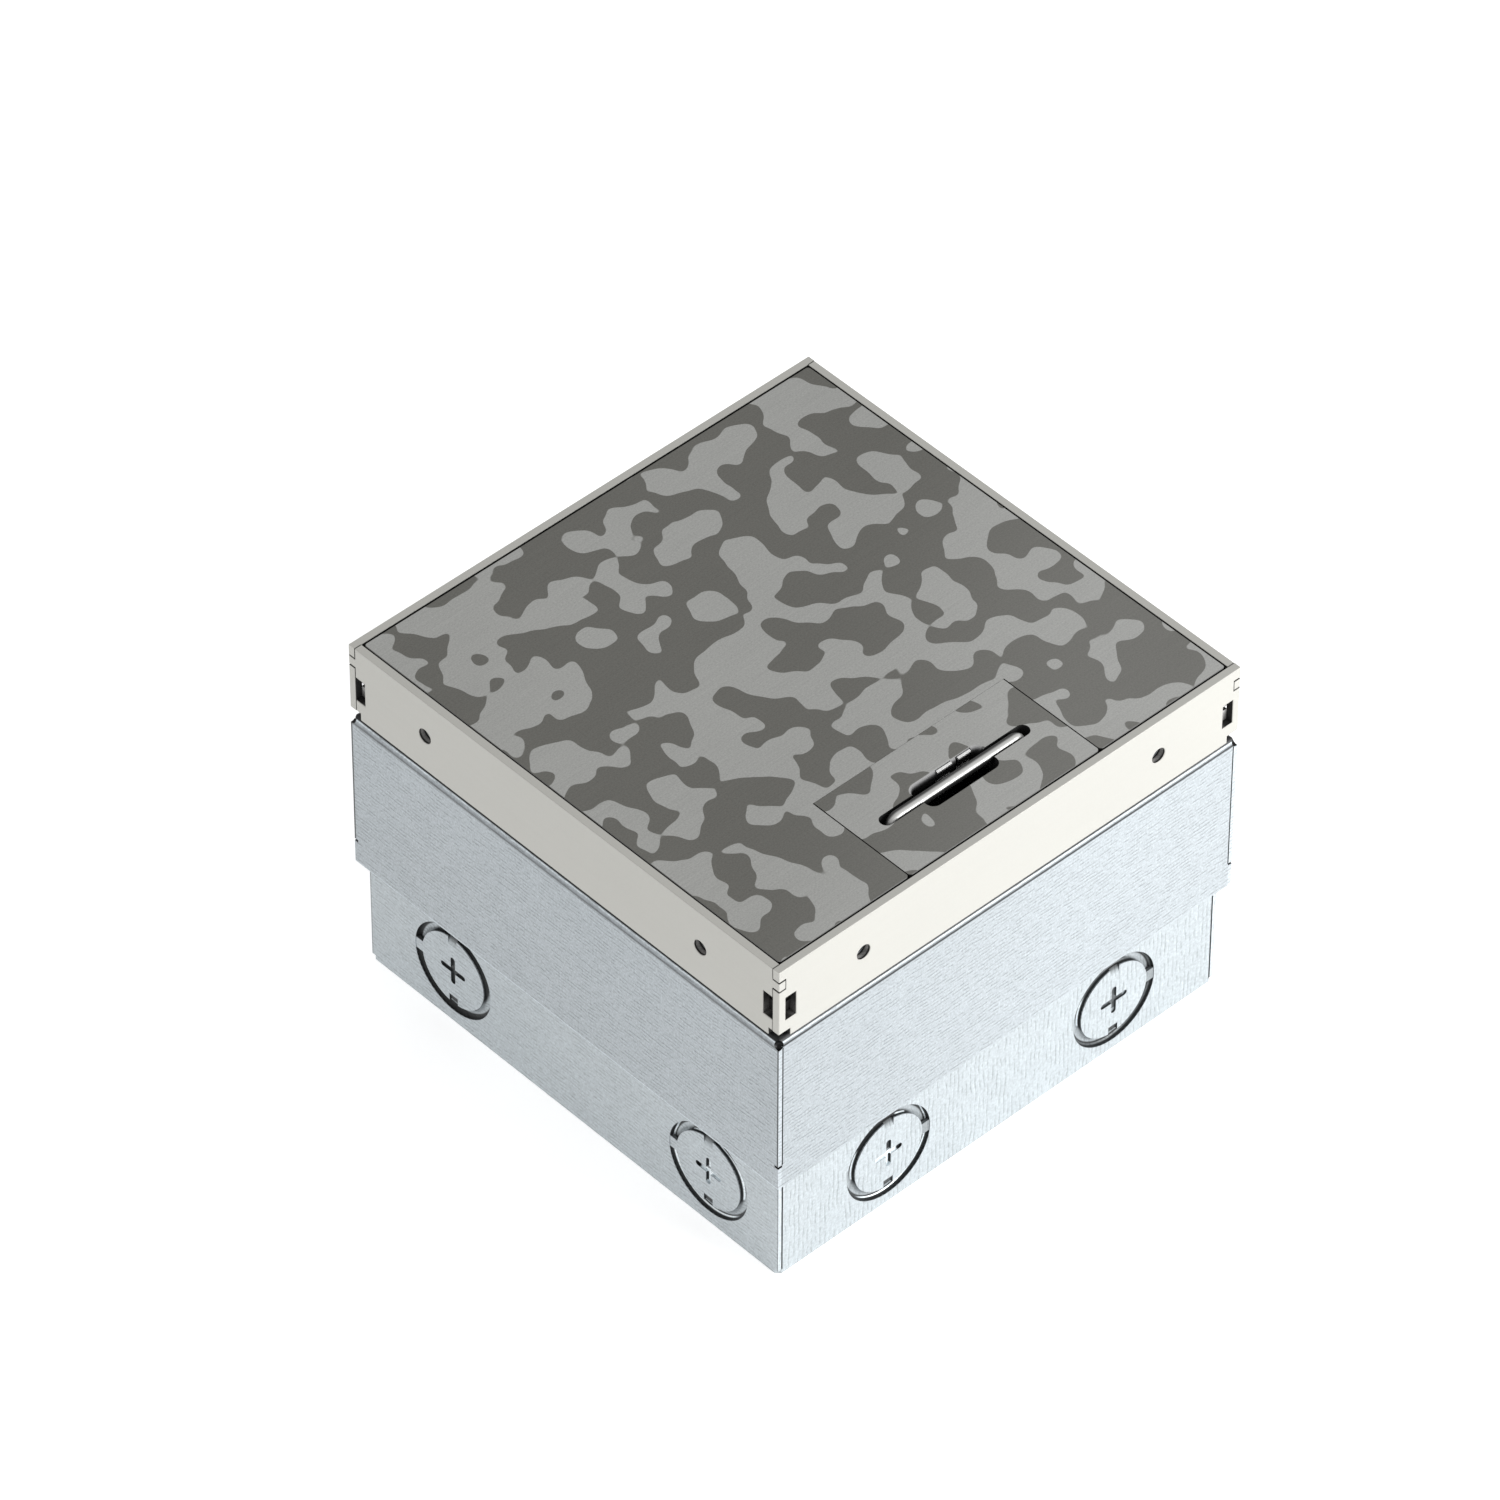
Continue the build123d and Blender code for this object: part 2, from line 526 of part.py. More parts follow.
def well(cx):
    with BuildPart() as w:
        with BuildSketch(Plane.XY.offset(WELL_FLOOR - 2.6)):
            with Locations((cx, SOCK_Y)):
                Circle(20.2)
        extrude(amount=COVER_Z + COVER_T + 0.4 - WELL_FLOOR + 2.6)
        fillet(w.edges().group_by(Axis.Z)[-1], 0.4)
        with BuildSketch(Plane.XY.offset(WELL_FLOOR)):
            with Locations((cx, SOCK_Y)):
                Circle(WELL_R)
        extrude(amount=30.0, mode=Mode.SUBTRACT)
        with BuildSketch(Plane.XY.offset(WELL_FLOOR - 4)):
            with Locations((cx - PIN_PITCH / 2, SOCK_Y), (cx + PIN_PITCH / 2, SOCK_Y)):
                Circle(2.6)
        extrude(amount=6.0, mode=Mode.SUBTRACT)
        # keyway ribs on both sides of the well
        with BuildSketch(Plane.XY.offset(WELL_FLOOR)):
            with Locations((cx - WELL_R + 1.0, SOCK_Y), (cx + WELL_R - 1.0, SOCK_Y)):
                Rectangle(2.2, 5.0)
        extrude(amount=WELL_D - 2.0)
    return w.part


socket_cover_left, socket_cover_right = cover(-SOCK_X), cover(SOCK_X)
write(socket_cover_left, "socket_cover_left")
write(socket_cover_right, "socket_cover_right")
socket_housing_left, socket_housing_right = housing(-SOCK_X), housing(SOCK_X)
write(socket_housing_left, "socket_housing_left")
write(socket_housing_right, "socket_housing_right")
socket_well_left, socket_well_right = well(-SOCK_X), well(SOCK_X)
write(socket_well_left, "socket_well_left")
write(socket_well_right, "socket_well_right")

with BuildPart() as pin_contacts:
    with BuildSketch(Plane.XY.offset(29.2)):
        with Locations(*[(cx + s * PIN_PITCH / 2, SOCK_Y) for cx in (-SOCK_X, SOCK_X) for s in (-1, 1)]):
            Circle(3.1)
            Circle(2.45, mode=Mode.SUBTRACT)
    extrude(amount=14.4)
write(pin_contacts.part, "pin_contacts")

with BuildPart() as earth_clips:
    for cx in (-SOCK_X, SOCK_X):
        for s in (-1, 1):
            with BuildSketch(Plane.YZ.offset(cx - 2.0)):
                with BuildLine():
                    y0 = SOCK_Y + s * 18.4
                    Polyline((y0, WELL_FLOOR), (y0 - s * 0.8, WELL_FLOOR), (y0 - s * 2.2, WELL_FLOOR + 7.0),
                             (y0 - s * 0.5, WELL_FLOOR + 13.0), (y0 + s * 0.3, WELL_FLOOR + 13.0),
                             (y0 - s * 1.3, WELL_FLOOR + 7.0), (y0, WELL_FLOOR))
                make_face()
            extrude(amount=4.0)
write(earth_clips.part, "earth_clips")

with BuildPart() as terminal_screws:
    spots = [(cx + dx, SOCK_Y - 14) for cx in (-SOCK_X, SOCK_X) for dx in (-12, 0, 12)]
    with BuildSketch(Plane.XY.offset(22.6)):
        with Locations(*spots):
            Circle(2.4)
    extrude(amount=3.4)
    with BuildSketch(Plane.XY.offset(22.6)):
        with Locations(*spots):
            Rectangle(3.6, 0.8)
    extrude(amount=1.2, mode=Mode.SUBTRACT)
write(terminal_screws.part, "terminal_screws")

# ================================================================== LID
NOTCH_X = FLAP_X + FLAP_SIDE_GAP
NOTCH_Y = FLAP_REAR + FLAP_REAR_GAP
with BuildPart() as lid_plate:
    with BuildSketch(Plane.XY.offset(LID_BOT)):
        with Locations((0, (LID_Y_FRONT + LID_Y_REAR) / 2)):
            Rectangle(2 * LID_X, LID_Y_REAR - LID_Y_FRONT)
    extrude(amount=LID_T)
    fillet(lid_plate.edges().filter_by(Axis.Z), 0.8)
    chamfer(lid_plate.edges().group_by(Axis.Z)[-1], PLATE_EDGE)
    with BuildSketch(Plane.XY.offset(LID_BOT)):
        with Locations((0, (LID_Y_FRONT - 5 + NOTCH_Y) / 2)):
            Rectangle(2 * NOTCH_X, NOTCH_Y - LID_Y_FRONT + 5)
    extrude(amount=LID_T, mode=Mode.SUBTRACT)
    # the rear wall of the notch is hollowed along the path of the flap's rear edge
    with Locations(Plane(origin=(0, FLAP_PIVOT_Y, FLAP_PIVOT_Z), z_dir=(1, 0, 0))):
        Cylinder(FLAP_SWEEP + FLAP_REAR_GAP, 2 * NOTCH_X, mode=Mode.SUBTRACT)
    fillet(lid_plate.edges().filter_by(Axis.Z).filter_by_position(Axis.Y, LID_Y_FRONT - 0.01, LID_Y_FRONT + 0.01)
           .filter_by_position(Axis.X, -NOTCH_X - 0.01, NOTCH_X + 0.01), 0.9)
    with Locations(Plane(origin=(-LID_X + 3.0, LID_PIVOT_Y, LID_PIVOT_Z), z_dir=(1, 0, 0)),
                   Plane(origin=(LID_X - 3.0, LID_PIVOT_Y, LID_PIVOT_Z), z_dir=(1, 0, 0))):
        Cylinder(LID_PIN_R + 0.06, 8.0, mode=Mode.SUBTRACT)
    with Locations(Plane(origin=(-NOTCH_X - 2.25, FLAP_PIVOT_Y, FLAP_PIVOT_Z), z_dir=(1, 0, 0)),
                   Plane(origin=(NOTCH_X + 2.25, FLAP_PIVOT_Y, FLAP_PIVOT_Z), z_dir=(1, 0, 0))):
        Cylinder(FLAP_PIN_R, 5.5, mode=Mode.SUBTRACT)
write(lid_plate.part, "lid_plate")

LID_BACK_BOT = 95.0
with BuildPart() as lid_backing:
    with BuildSketch(Plane.XY.offset(LID_BACK_BOT)):
        with BuildLine():
            Polyline((-64.4, 57.0), (-64.4, -64.4), (-31.5, -64.4), (-31.5, -62.0), (-27.3, -62.0), (-27.3, -50.0),
                     (-31.5, -50.0), (-31.5, -36.0), (31.5, -36.0), (31.5, -50.0), (27.3, -50.0), (27.3, -62.0),
                     (31.5, -62.0), (31.5, -64.4), (64.4, -64.4), (64.4, 57.0), (-64.4, 57.0))
        make_face()
    extrude(amount=LID_BOT - LID_BACK_BOT)
    # turned-down flanges along the sides
    with BuildSketch(Plane.XY.offset(91.0)):
        with Locations((-63.8, 3.0), (63.8, 3.0)):
            Rectangle(1.2, 100.0)
    extrude(amount=4.0)
write(lid_backing.part, "lid_backing")

with BuildPart() as lid_stiffeners:
    for y in (-22.0, 34.0):
        with BuildSketch(Plane.YZ.offset(-58.0)):
            with BuildLine():
                Polyline((y - 12, 95.0), (y - 7, 95.0), (y - 7, 90.2), (y + 7, 90.2), (y + 7, 95.0), (y + 12, 95.0),
                         (y + 12, 93.8), (y + 8.2, 93.8), (y + 8.2, 89.0), (y - 8.2, 89.0), (y - 8.2, 93.8),
                         (y - 12, 93.8), (y - 12, 95.0))
            make_face()
        extrude(amount=116.0)
write(lid_stiffeners.part, "lid_stiffeners")

with BuildPart() as flap_pivot_pins:
    with Locations(Plane(origin=(-29.2, FLAP_PIVOT_Y, FLAP_PIVOT_Z), z_dir=(1, 0, 0)),
                   Plane(origin=(29.2, FLAP_PIVOT_Y, FLAP_PIVOT_Z), z_dir=(1, 0, 0))):
        Cylinder(FLAP_PIN_R, 10.4)
write(flap_pivot_pins.part, "flap_pivot_pins")

# ================================================================== CORD OUTLET FLAP
with BuildPart() as flap_plate:
    with BuildSketch(Plane.XY.offset(LID_BOT)):
        with Locations((0, (LID_Y_FRONT + FLAP_REAR) / 2)):
            Rectangle(2 * FLAP_X, FLAP_REAR - LID_Y_FRONT)
    extrude(amount=LID_T)
    chamfer(flap_plate.edges().group_by(Axis.Z)[-1].filter_by_position(Axis.Y, LID_Y_FRONT - 0.01, LID_Y_FRONT + 0.01), PLATE_EDGE)
    fillet(flap_plate.edges().filter_by(Axis.Z).group_by(Axis.Y)[0], 0.9)
    with BuildSketch(Plane.XY.offset(LID_BOT)):
        with Locations((0, BAR_Y)):
            SlotOverall(BAR_SLOT_L, BAR_SLOT_W)
        with Locations((RECESS_X, RECESS_Y)):
            RectangleRounded(RECESS_L, RECESS_W, RECESS_R)
    extrude(amount=LID_T, mode=Mode.SUBTRACT)
    # rounded rear lip of the finger recess
    lip = flap_plate.edges().filter_by_position(Axis.Z, TOP - 0.01, TOP + 0.01) \
        .filter_by_position(Axis.Y, RECESS_Y + RECESS_W / 2 - 0.01, RECESS_Y + RECESS_W / 2 + 0.01)
    fillet(lip, 0.9)
    # seats of the two spring tongues in the lip
    with Locations(*[((x0 + x1) / 2, RECESS_Y + RECESS_W / 2, LID_BOT + LID_T / 2) for x0, x1 in TONGUES]):
        Box(4.7, 0.96, LID_T + 1, mode=Mode.SUBTRACT)
    with Locations(Plane(origin=(-FLAP_X + 3.0, FLAP_PIVOT_Y, FLAP_PIVOT_Z), z_dir=(1, 0, 0)),
                   Plane(origin=(FLAP_X - 3.0, FLAP_PIVOT_Y, FLAP_PIVOT_Z), z_dir=(1, 0, 0))):
        Cylinder(FLAP_PIN_R + 0.05, 6.0, mode=Mode.SUBTRACT)
write(flap_plate.part, "flap_plate")

with BuildPart() as flap_backing:
    with BuildSketch(Plane.XY.offset(LID_BOT - BACK_T)):
        with Locations((0, (-65.0 - 39.5) / 2)):
            Rectangle(52.0, 65.0 - 39.5)
        with Locations((-BAR_HALF, BAR_Y), (BAR_HALF, BAR_Y)):
            Circle(2.4, mode=Mode.SUBTRACT)
        with Locations((RECESS_X, RECESS_Y)):
            RectangleRounded(RECESS_L + 1.0, RECESS_W + 1.0, RECESS_R, mode=Mode.SUBTRACT)
    extrude(amount=BACK_T)
write(flap_backing.part, "flap_backing")

# flanged guide bushes for the legs of the bar
with BuildPart() as guide_bushes:
    spots = [(-BAR_HALF, BAR_Y), (BAR_HALF, BAR_Y)]
    with BuildSketch(Plane.XY.offset(94.0)):
        with Locations(*spots):
            Circle(2.4)
            Circle(BAR_R + 0.1, mode=Mode.SUBTRACT)
    extrude(amount=3.0)
    with BuildSketch(Plane.XY.offset(93.2)):
        with Locations(*spots):
            Circle(3.2)
            Circle(BAR_R + 0.1, mode=Mode.SUBTRACT)
    extrude(amount=0.8)
write(guide_bushes.part, "guide_bushes")

# two small polished spring tongues with rolled tops, at the rear of the recess
with BuildPart() as detent_springs:
    y0 = RECESS_Y + RECESS_W / 2
    for x0, x1 in TONGUES:
        with BuildSketch(Plane.YZ.offset(x0)):
            with Locations((y0 + 0.23, (LID_BOT - 1.8 + TOP - 0.6) / 2)):
                Rectangle(0.36, TOP - 0.6 - LID_BOT + 1.8)
            with Locations((y0 - 0.04, TOP - 0.6)):
                Circle(TONGUE_R)
            # foot against the backing plate
            with Locations((y0 + 0.275, LID_BOT - 0.95)):
                Rectangle(0.45, 1.7)
        extrude(amount=x1 - x0)
write(detent_springs.part, "detent_springs")

# ================================================================== PULL-UP BAR
bar_route = FilletPolyline((-BAR_HALF, BAR_Y, BAR_LEG_BOT), (-BAR_HALF, BAR_Y, BAR_Z), (BAR_HALF, BAR_Y, BAR_Z),
                           (BAR_HALF, BAR_Y, BAR_LEG_BOT), radius=2.4)
with BuildPart() as handle_bar:
    with BuildLine():
        add(bar_route)
    with BuildSketch(Plane(origin=(-BAR_HALF, BAR_Y, BAR_LEG_BOT), z_dir=(0, 0, 1))):
        Circle(BAR_R)
    sweep()
write(handle_bar.part, "handle_bar")

with BuildPart() as handle_clips:
    with BuildSketch(Plane.XY.offset(BAR_LEG_BOT + 0.4)):
        with Locations((-BAR_HALF, BAR_Y), (BAR_HALF, BAR_Y)):
            Circle(2.4)
            Circle(BAR_R, mode=Mode.SUBTRACT)
    extrude(amount=0.9)
write(handle_clips.part, "handle_clips")
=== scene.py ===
"""Looks of the square floor socket box: materials, floor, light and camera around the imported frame."""

import bpy
from mathutils import Matrix, Vector

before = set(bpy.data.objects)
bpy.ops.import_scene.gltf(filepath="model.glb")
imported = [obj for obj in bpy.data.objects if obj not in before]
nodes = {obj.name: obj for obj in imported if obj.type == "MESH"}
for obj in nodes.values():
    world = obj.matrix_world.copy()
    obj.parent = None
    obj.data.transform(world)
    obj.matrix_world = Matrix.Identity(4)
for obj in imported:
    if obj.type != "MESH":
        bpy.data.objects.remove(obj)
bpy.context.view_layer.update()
scene = bpy.context.scene


# ------------------------------------------------------------------ node helpers
class Mat:
    """A small builder for one procedural node material."""

    def __init__(self, name, **sockets):
        self.m = bpy.data.materials.new(name)
        self.m.use_nodes = True
        self.t = self.m.node_tree
        self.b = self.t.nodes["Principled BSDF"]
        self.set(**sockets)
        self.co = self.node("ShaderNodeTexCoord")
        self.pos = self.co.outputs["Object"]
        self.x, self.y, self.z = self.split(self.pos)
        self.nx, self.ny, self.nz = self.split(self.co.outputs["Normal"])

    def set(self, **sockets):
        for k, v in sockets.items():
            self.b.inputs[k.replace("_", " ")].default_value = v

    def node(self, kind, **props):
        n = self.t.nodes.new(kind)
        for k, v in props.items():
            setattr(n, k, v)
        return n

    def plug(self, value, socket):
        if isinstance(value, bpy.types.NodeSocket):
            self.t.links.new(value, socket)
        else:
            socket.default_value = value

    def math(self, op, a, b=None, c=None, clamp=False):
        n = self.node("ShaderNodeMath", operation=op, use_clamp=clamp)
        for v, s in zip((a, b, c), n.inputs):
            if v is not None:
                self.plug(v, s)
        return n.outputs[0]

    def add(self, a, b):
        return self.math("ADD", a, b)

    def sub(self, a, b):
        return self.math("SUBTRACT", a, b)

    def mul(self, a, *bs):
        for b in bs:
            a = self.math("MULTIPLY", a, b)
        return a

    def abs(self, a):
        return self.math("ABSOLUTE", a)

    def inv(self, a):
        return self.math("SUBTRACT", 1.0, a)

    def most(self, a, *bs):
        for b in bs:
            a = self.math("MAXIMUM", a, b)
        return a

    def vmath(self, op, a, b=None):
        n = self.node("ShaderNodeVectorMath", operation=op)
        self.plug(a, n.inputs[0])
        if b is not None:
            self.plug(b, n.inputs[1])
        return n.outputs["Value"] if op in ("LENGTH", "DOT_PRODUCT") else n.outputs["Vector"]

    def split(self, vec):
        n = self.node("ShaderNodeSeparateXYZ")
        self.plug(vec, n.inputs[0])
        return n.outputs

    def join(self, x, y, z):
        n = self.node("ShaderNodeCombineXYZ")
        for v, s in zip((x, y, z), n.inputs):
            self.plug(v, s)
        return n.outputs[0]

    def noise(self, scale, vec=None, detail=2.0, rough=0.5, dist=0.0, stretch=None):
        vec = self.pos if vec is None else vec
        if stretch is not None:
            vec = self.vmath("MULTIPLY", vec, tuple(stretch))
        n = self.node("ShaderNodeTexNoise")
        self.plug(vec, n.inputs["Vector"])
        n.inputs["Scale"].default_value = scale
        n.inputs["Detail"].default_value = detail
        n.inputs["Roughness"].default_value = rough
        n.inputs["Distortion"].default_value = dist
        return n.outputs["Fac"]

    def ramp(self, value, a, b, lo=0.0, hi=1.0, smooth=True):
        n = self.node("ShaderNodeMapRange", interpolation_type="SMOOTHSTEP" if smooth else "LINEAR", clamp=True)
        for k, v in (("Value", value), ("From Min", a), ("From Max", b), ("To Min", lo), ("To Max", hi)):
            self.plug(v, n.inputs[k])
        return n.outputs[0]

    def band(self, value, centre, half, soft):
        """1 where value is within half of centre, falling to 0 over soft."""
        return self.ramp(self.abs(self.sub(value, centre)), half, half + soft, 1.0, 0.0)

    def curve(self, value, points):
        """Piecewise linear curve through (value, factor) points, factors up to 2."""
        lo, hi = points[0][0], points[-1][0]
        n = self.node("ShaderNodeValToRGB")
        self.plug(self.ramp(value, lo, hi, smooth=False), n.inputs[0])
        e = n.color_ramp.elements
        for k, (at, fac) in enumerate(points):
            p = (at - lo) / (hi - lo)
            el = e[0] if k == 0 else (e[len(e) - 1] if k == len(points) - 1 else e.new(p))
            el.position = p
            el.color = (fac / 2, fac / 2, fac / 2, 1.0)
        for k, (at, fac) in enumerate(points):
            e[k].color = (fac / 2, fac / 2, fac / 2, 1.0)
        return self.mul(n.outputs[0], 2.0)

    def turned(self, vec, scale, angle, shift):
        """Smooth noise on turned coordinates."""
        n = self.node("ShaderNodeMapping")
        self.plug(vec, n.inputs[0])
        n.inputs["Rotation"].default_value = (0.3, 0.2, angle)
        n.inputs["Location"].default_value = (shift * 0.37, 0.11 * shift, 0.2 * shift)
        return self.noise(scale, n.outputs[0], detail=0.0)

    def blend(self, fac, a, b):
        n = self.node("ShaderNodeMix", data_type="FLOAT")
        for v, s in ((fac, n.inputs[0]), (a, n.inputs[2]), (b, n.inputs[3])):
            self.plug(v, s)
        return n.outputs[0]

    def mix(self, fac, a, b, mode="MIX"):
        n = self.node("ShaderNodeMix", data_type="RGBA", blend_type=mode)
        self.plug(fac, n.inputs[0])
        for v, s in ((a, n.inputs[6]), (b, n.inputs[7])):
            self.plug(v if isinstance(v, bpy.types.NodeSocket) else (*v, 1.0), s)
        return n.outputs[2]

    def shade(self, colour, factor):
        """Colour times a grey factor."""
        return self.mix(1.0, colour, self.join(factor, factor, factor), "MULTIPLY")

    def bump(self, height, strength, distance):
        n = self.node("ShaderNodeBump")
        n.inputs["Strength"].default_value = strength
        n.inputs["Distance"].default_value = distance
        self.plug(height, n.inputs["Height"])
        self.t.links.new(n.outputs[0], self.b.inputs["Normal"])

    def colour(self, v):
        self.plug(v, self.b.inputs["Base Color"])

    def rough(self, v):
        self.plug(v, self.b.inputs["Roughness"])

    def metal(self, v):
        self.plug(v, self.b.inputs["Metallic"])


# ------------------------------------------------------------------ materials
def patterned_steel(name, shift):
    """Brushed stainless sheet printed with a two-tone disruptive pattern; its cut edges and the walls of its slot and
    recess carry painted near-black shade, its chamfer a dull grey.
    """
    m = Mat(name, Specular_IOR_Level=0.5)
    p = m.vmath("ADD", m.pos, shift)
    # rounded blobs that run together, from four turned layers, and small islands of both tones
    field = None
    for k, (scale, angle) in enumerate(((110.0, 0.5), (97.0, 1.3), (123.0, 2.3), (104.0, 2.9))):
        layer = m.sub(m.turned(p, scale, angle, k + 1), 0.5)
        field = layer if field is None else m.add(field, layer)
    small = m.noise(198.0, p, detail=0.0)
    field = m.add(m.mul(field, 0.5), m.mul(m.sub(small, 0.5), 0.20))
    mask = m.ramp(field, 0.0010, 0.0090)
    # brush grain along X, fine tooth and a slow cloud from the rolling
    grain = m.noise(1.0, stretch=(70.0, 2100.0, 60.0), detail=3.0, rough=0.6)
    tooth = m.noise(1.0, stretch=(1900.0, 3800.0, 60.0), detail=1.0)
    cloud = m.noise(11.0, detail=2.0)
    col = m.mix(mask, (0.200, 0.198, 0.181), (0.492, 0.496, 0.478))
    lift = m.add(1.0, m.mul(m.sub(grain, 0.5), 0.26))
    lift = m.add(lift, m.mul(m.sub(tooth, 0.5), 0.48))
    lift = m.add(lift, m.mul(m.sub(cloud, 0.5), 0.16))
    # painted sheen: a faint reflection added to the colour, growing towards the front right corner
    painted_sheen = m.mul(m.ramp(m.sub(m.x, m.mul(m.y, 1.6)), 0.0, 0.13), 0.060)
    # painted shade: only the top face keeps the metal; the sides go near-black and the chamfer a flat dull grey
    face = m.ramp(m.nz, 0.88, 0.97)
    rim = m.band(m.nz, 0.70, 0.12, 0.10)
    col = m.mix(1.0, m.shade(col, lift), m.join(painted_sheen, painted_sheen, painted_sheen), "ADD")
    # painted shade: the rear wall of the finger recess is dark deep down and lightens to a painted highlight at its
    # rounded edge
    pocket = m.mul(m.band(m.x, -0.0003, 0.0112, 0.0001), m.ramp(m.y, -0.0500, -0.0497), m.ramp(m.y, -0.0479, -0.0477, 1.0, 0.0))
    wall = m.curve(m.z, ((0.0970, 0.010), (0.0982, 0.012), (0.0986, 0.045), (0.09927, 0.17), (0.0996, 0.30), (0.1000, 0.42)))
    wall = m.blend(pocket, 0.010, wall)
    col = m.mix(face, m.mix(m.mul(rim, m.inv(pocket)), m.join(wall, wall, wall), (0.17, 0.17, 0.165)), col)
    m.colour(col)
    m.metal(m.mul(face, 0.84))
    m.rough(m.blend(face, 0.7, m.add(m.mul(grain, 0.14), m.ramp(mask, 0.0, 1.0, 0.40, 0.34, smooth=False))))
    m.bump(m.add(grain, m.mul(tooth, 0.4)), 0.10, 0.00010)
    return m.m


def trim_metal(name):
    """Satin, faintly warm plate; everything behind its outer faces (slots, holes, joints, inner side) is painted
    near-black shade.
    """
    m = Mat(name, Metallic=0.22, Specular_IOR_Level=0.30)
    speck = m.noise(2600.0, detail=2.0, rough=0.6)
    cloud = m.noise(24.0, detail=3.0, rough=0.55)
    roll = m.noise(1.0, stretch=(60.0, 60.0, 900.0), detail=2.0)
    f = m.add(0.945, m.mul(speck, 0.06))
    f = m.add(f, m.mul(m.sub(cloud, 0.5), 0.05))
    f = m.add(f, m.mul(m.sub(roll, 0.5), 0.03))
    ax, ay = m.abs(m.x), m.abs(m.y)
    low = m.math("MINIMUM", ax, ay)
    depth = m.sub(0.071, m.most(ax, ay))
    # painted shade: near-black a hair behind the outer faces and below the top edge
    hidden = m.mul(m.ramp(depth, 0.00013, 0.00019), m.ramp(m.z, 0.09980, 0.09988, 1.0, 0.0))
    # a little light reaches the walls of the corner slots and the middle of the round holes
    slot = m.mul(m.ramp(low, 0.0652, 0.0656), m.ramp(low, 0.0662, 0.0676, 1.0, 0.0), m.ramp(m.z, 0.0838, 0.0840), m.ramp(m.z, 0.0912, 0.0914, 1.0, 0.0))
    hole = m.mul(m.band(low, 0.0455, 0.0022, 0.0002), m.band(m.z, 0.0892, 0.0022, 0.0002))
    back = m.add(0.026, m.mul(slot, m.ramp(m.z, 0.0890, 0.0846, 0.0, 0.105)))
    back = m.add(back, m.mul(hole, m.band(depth, 0.0011, 0.0002, 0.0005), 0.34))
    back = m.mul(back, m.ramp(speck, 0.3, 0.7, 0.75, 1.25))
    # darker edges along the finger joints, the upright ones darkest towards the top
    joint = m.mul(m.most(m.band(m.z, 0.09398, 0.00020, 0.00012), m.band(m.z, 0.09685, 0.00020, 0.00012)), m.ramp(low, 0.06885, 0.06892))
    side = m.ramp(m.sub(ax, ay), -0.00001, 0.00001, smooth=False)
    tab = m.mul(m.ramp(m.z, 0.0939, 0.0940), m.ramp(m.z, 0.0968, 0.0969, 1.0, 0.0))
    upright = m.mul(m.blend(side, tab, m.inv(tab)), m.band(low, m.blend(side, 0.06903, 0.06890), 0.00010, 0.00010),
                    m.ramp(m.z, 0.0799, 0.0970, 0.55, 0.85))
    f = m.mul(f, m.inv(m.mul(joint, 0.80)), m.inv(m.mul(upright, 0.85)))
    m.colour(m.mix(hidden, m.shade((0.535, 0.530, 0.496), f), m.join(back, m.mul(back, 0.98), m.mul(back, 0.95))))
    m.rough(m.blend(hidden, m.ramp(cloud, 0.3, 0.7, 0.46, 0.56), 0.8))
    m.bump(speck, 0.05, 0.00006)
    return m.m


def galvanised(name, tint, vertical_on_y=False, zones=None, contrast=1.0):
    """Galvanised sheet: bluish grey with short rolled dashes and a faint spangle."""
    m = Mat(name, Specular_IOR_Level=0.45)
    on_y = m.ramp(m.abs(m.ny), 0.6, 0.8)
    # dashes run along the sheet; on the lower box's front and rear walls they run up it
    drift = m.mul(m.sub(m.noise(150.0, detail=2.0), 0.5), 8.0)
    lines = m.math("SINE", m.add(m.mul(m.z, 5700.0), drift))
    after = m.math("SINE", m.add(m.mul(m.z, 5700.0), m.add(drift, 1.7)))
    broken = m.noise(1.0, stretch=(440.0, 440.0, 1300.0), detail=1.0)
    if vertical_on_y:
        lines = m.blend(on_y, lines, m.math("SINE", m.add(m.mul(m.x, 4700.0), drift)))
        after = m.blend(on_y, after, m.math("SINE", m.add(m.mul(m.x, 4700.0), m.add(drift, 1.7))))
        broken = m.blend(on_y, broken, m.noise(1.0, stretch=(1200.0, 300.0, 330.0), detail=1.0))
    broken = m.ramp(broken, 0.40, 0.60)
    dash = m.inv(m.mul(m.ramp(lines, -0.05, 0.95), broken))
    lite = m.mul(m.ramp(after, 0.10, 0.95), broken)
    flat = m.add(m.mul(dash, 0.7), m.mul(lite, 0.3))
    vor = m.node("ShaderNodeTexVoronoi", feature="F1")
    m.plug(m.pos, vor.inputs["Vector"])
    vor.inputs["Scale"].default_value = 130.0
    spangle = m.split(vor.outputs["Color"])[0]
    cloud = m.noise(16.0, detail=3.0, rough=0.6)
    speck = m.noise(1900.0, detail=1.0)
    f = m.add(1.0 - 0.27 * contrast, m.mul(dash, 0.31 * contrast))
    f = m.add(f, m.mul(lite, 0.12 * contrast))
    f = m.add(f, m.mul(m.sub(speck, 0.5), 0.72 * contrast))
    f = m.add(f, m.mul(m.sub(spangle, 0.5), 0.03))
    f = m.add(f, m.mul(m.sub(cloud, 0.5), 0.06))
    col = m.shade(tint, f)
    rough = m.ramp(cloud, 0.3, 0.7, 0.38, 0.50)
    if zones is None:
        m.set(Metallic=0.30)
    else:
        tone, shine = zones(m)
        col = m.shade(col, tone)
        m.metal(m.ramp(shine, 0.0, 1.0, 0.30, 0.95, smooth=False))
        rough = m.blend(shine, rough, 0.24)
    m.colour(col)
    m.rough(rough)
    m.bump(flat, 0.30, 0.00010)
    return m.m


